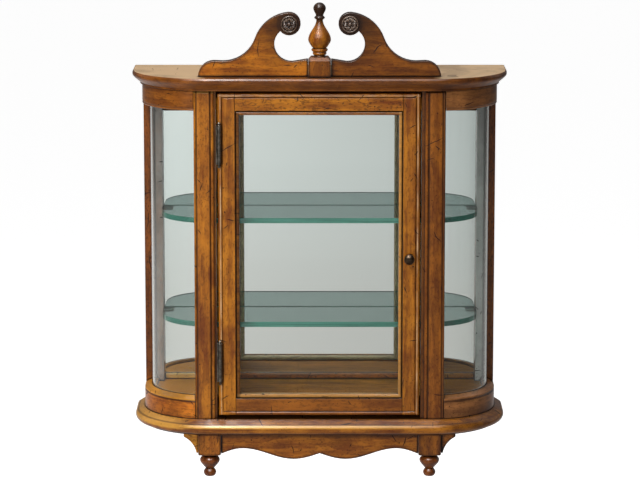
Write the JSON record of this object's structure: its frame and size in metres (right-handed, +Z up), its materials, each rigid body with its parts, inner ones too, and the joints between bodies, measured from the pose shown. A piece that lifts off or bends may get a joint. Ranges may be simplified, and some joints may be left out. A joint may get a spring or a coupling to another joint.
{
  "type": "wall curio cabinet",
  "caption": "Wall-hung display cabinet with bent-glass sides, a glazed hinged door, mirror back, lift-out glass shelves, turned feet and a scrolled pediment.",
  "frame": {"origin": "middle of the rear face of the hanging rail, on the wall plane", "axes": "+Z up, +Y into the wall, +X to the right as seen from the front"},
  "size_m": [0.56, 0.1728, 0.7131],
  "materials": {
    "amber_wood": "distressed amber stain under satin lacquer",
    "dark_wood": "dark stained, satin lacquer",
    "inner_wood": "plain stained",
    "clear_glass": "clear",
    "shelf_glass": "clear with green ground edges",
    "mirror": "silvered",
    "dark_bronze": "dark antique bronze",
    "plated_steel": "zinc plated",
    "brown_plastic": "brown moulded"
  },
  "bodies": {
    "case": {"apron": "amber_wood", "back_bottom_rail": "inner_wood", "back_panel": "inner_wood", "back_post_left": "amber_wood", "back_post_right": "amber_wood", "base_board": "amber_wood", "base_plate": "dark_wood", "bottom_rail_left": "amber_wood", "bottom_rail_right": "amber_wood", "bracket_left": "amber_wood", "bracket_right": "amber_wood", "catch_body": "brown_plastic", "finial": "amber_wood", "finial_block": "amber_wood", "floor_panel": "inner_wood", "foot_block_left": "amber_wood", "foot_block_right": "amber_wood", "foot_left": "amber_wood", "foot_right": "amber_wood", "front_stile_left": "amber_wood", "front_stile_right": "amber_wood", "hanger_left": "plated_steel", "hanger_right": "plated_steel", "hanging_rail": "inner_wood", "header_rail": "inner_wood", "hinge_lower_frame_leaf": "dark_bronze", "hinge_upper_frame_leaf": "dark_bronze", "mirror": "mirror", "mirror_strip": "inner_wood", "pediment_left": "amber_wood", "pediment_right": "amber_wood", "pin_lower_back_left": "dark_bronze", "pin_lower_back_right": "dark_bronze", "pin_lower_front_left": "dark_bronze", "pin_lower_front_right": "dark_bronze", "pin_upper_back_left": "dark_bronze", "pin_upper_back_right": "dark_bronze", "pin_upper_front_left": "dark_bronze", "pin_upper_front_right": "dark_bronze", "rosette_left": "dark_wood", "rosette_right": "dark_wood", "side_glass_left": "clear_glass", "side_glass_right": "clear_glass", "sill_rail": "inner_wood", "top_board": "amber_wood", "top_rail_left": "amber_wood", "top_rail_right": "amber_wood"},
    "door": {"catch_strike": "plated_steel", "door_bottom_rail": "amber_wood", "door_glass": "clear_glass", "door_glass_stops": "inner_wood", "door_knob": "dark_bronze", "door_sight_bead": "amber_wood", "door_stile_left": "amber_wood", "door_stile_right": "amber_wood", "door_top_rail": "amber_wood", "hinge_lower_door_leaf": "dark_bronze", "hinge_upper_door_leaf": "dark_bronze"},
    "upper_shelf": {"shelf_upper": "shelf_glass"},
    "lower_shelf": {"shelf_lower": "shelf_glass"}
  },
  "joints": [
    {"name": "door_hinge", "type": "hinge", "parent": "case", "child": "door", "pos_m": [-0.1478, -0.1585, -0.2222], "axis": [0, 0, -1], "range_deg": [0, 170]},
    {"name": "upper_shelf_lift", "type": "slide", "parent": "case", "child": "upper_shelf", "axis": [0, 0, 1], "range_m": [0, 0.04]},
    {"name": "lower_shelf_lift", "type": "slide", "parent": "case", "child": "lower_shelf", "axis": [0, 0, 1], "range_m": [0, 0.04]}
  ]
}
